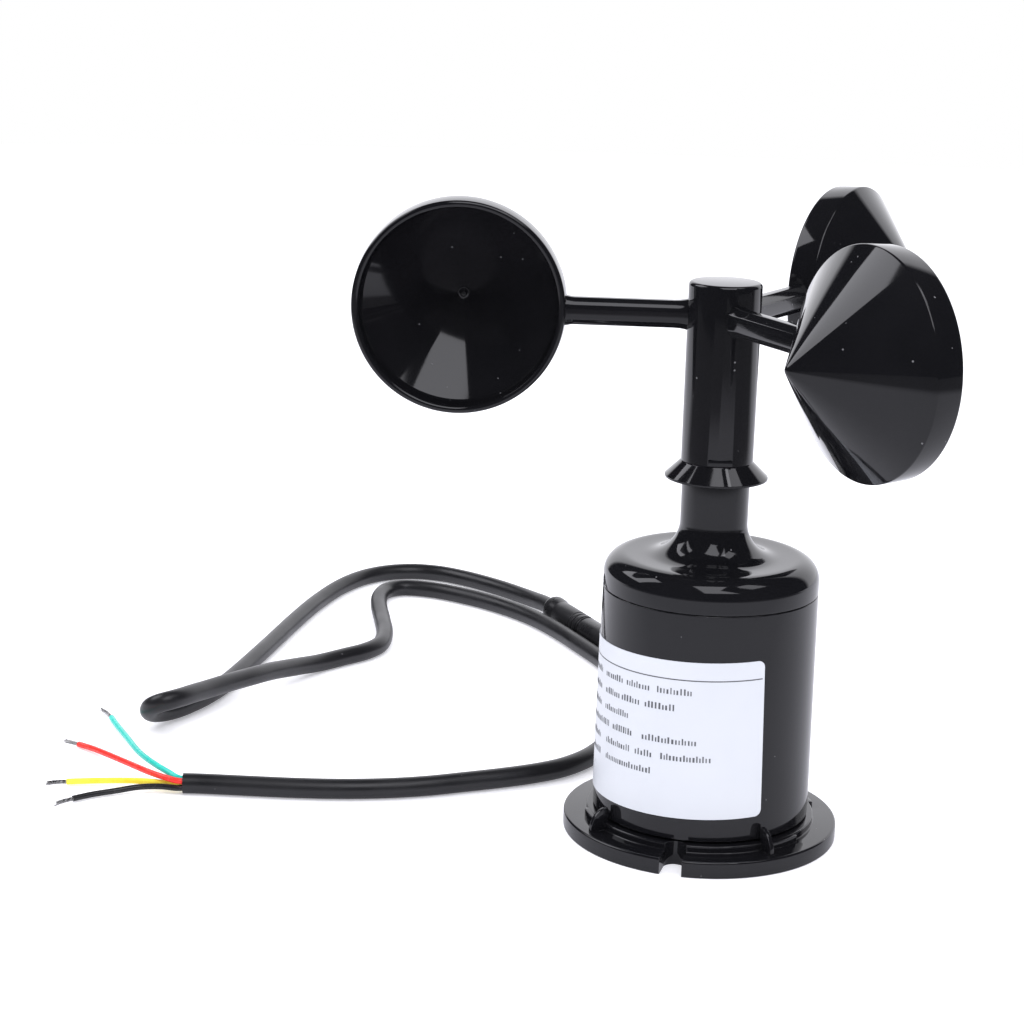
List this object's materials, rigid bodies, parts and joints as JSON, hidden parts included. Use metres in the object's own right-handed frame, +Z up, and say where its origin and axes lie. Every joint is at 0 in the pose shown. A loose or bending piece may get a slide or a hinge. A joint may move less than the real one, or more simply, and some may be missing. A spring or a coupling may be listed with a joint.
{
  "type": "cup anemometer",
  "caption": "Cup anemometer: conical cups on arms turn over a flanged round housing, with a cable, an in-line connector and stripped wires.",
  "frame": {"origin": "centre of the base's flat underside, on the shaft's axis", "axes": "+Z up along the shaft; the two fixing slots in the flange lie on -Y and +Y"},
  "size_m": [0.2287, 0.251, 0.1489],
  "materials": {
    "black_gloss": "glossy black ABS",
    "black_satin": "satin black PVC and overmould",
    "label": "pale printed sticker",
    "steel": "plain",
    "brass": "turned",
    "board": "coated glass-fibre board",
    "chip": "moulded component case",
    "magnet": "nickel plated",
    "silicone": "moulded rubber",
    "teal": "wire insulation",
    "red": "wire insulation",
    "yellow": "wire insulation",
    "tinned": "tinned copper strands"
  },
  "bodies": {
    "housing": {"base_flange": "black_gloss", "housing_tube": "black_gloss", "top_cap": "black_gloss", "base_screw_1": "steel", "base_screw_2": "steel", "base_screw_3": "steel", "board_screw_1": "steel", "board_screw_2": "steel", "board_screw_3": "steel", "upper_bearing_outer": "steel", "upper_bearing_shield": "steel", "lower_bearing_outer": "steel", "lower_bearing_shield": "steel", "base_seal": "silicone", "cap_seal": "silicone", "cable_grommet": "silicone", "name_label": "label", "circuit_board": "board", "hall_sensor": "chip", "controller_chip": "chip", "regulator_chip": "chip", "smoothing_capacitor": "chip", "board_header": "chip", "tail_cable": "black_satin", "socket_half": "black_satin", "plug_half": "black_satin", "main_cable": "black_satin", "inner_lead_4": "black_satin", "wire_black": "black_satin", "inner_lead_1": "teal", "wire_teal": "teal", "inner_lead_2": "red", "wire_red": "red", "inner_lead_3": "yellow", "wire_yellow": "yellow", "wire_tip_teal": "tinned", "wire_tip_red": "tinned", "wire_tip_yellow": "tinned", "wire_tip_black": "tinned"},
    "rotor": {"shaft": "steel", "upper_bearing_inner": "steel", "lower_bearing_inner": "steel", "retaining_ring": "steel", "magnet_carrier": "black_satin", "magnet_1": "magnet", "magnet_2": "magnet", "hub_insert": "brass", "rotor_hub": "black_gloss", "arm_1": "black_gloss", "arm_2": "black_gloss", "arm_3": "black_gloss", "cup_1": "black_gloss", "cup_2": "black_gloss", "cup_3": "black_gloss"}
  },
  "joints": [
    {"name": "rotor_spin", "type": "hinge", "parent": "housing", "child": "rotor", "pos_m": [0, 0, 0.085], "axis": [0, 0, 1], "continuous": true}
  ]
}
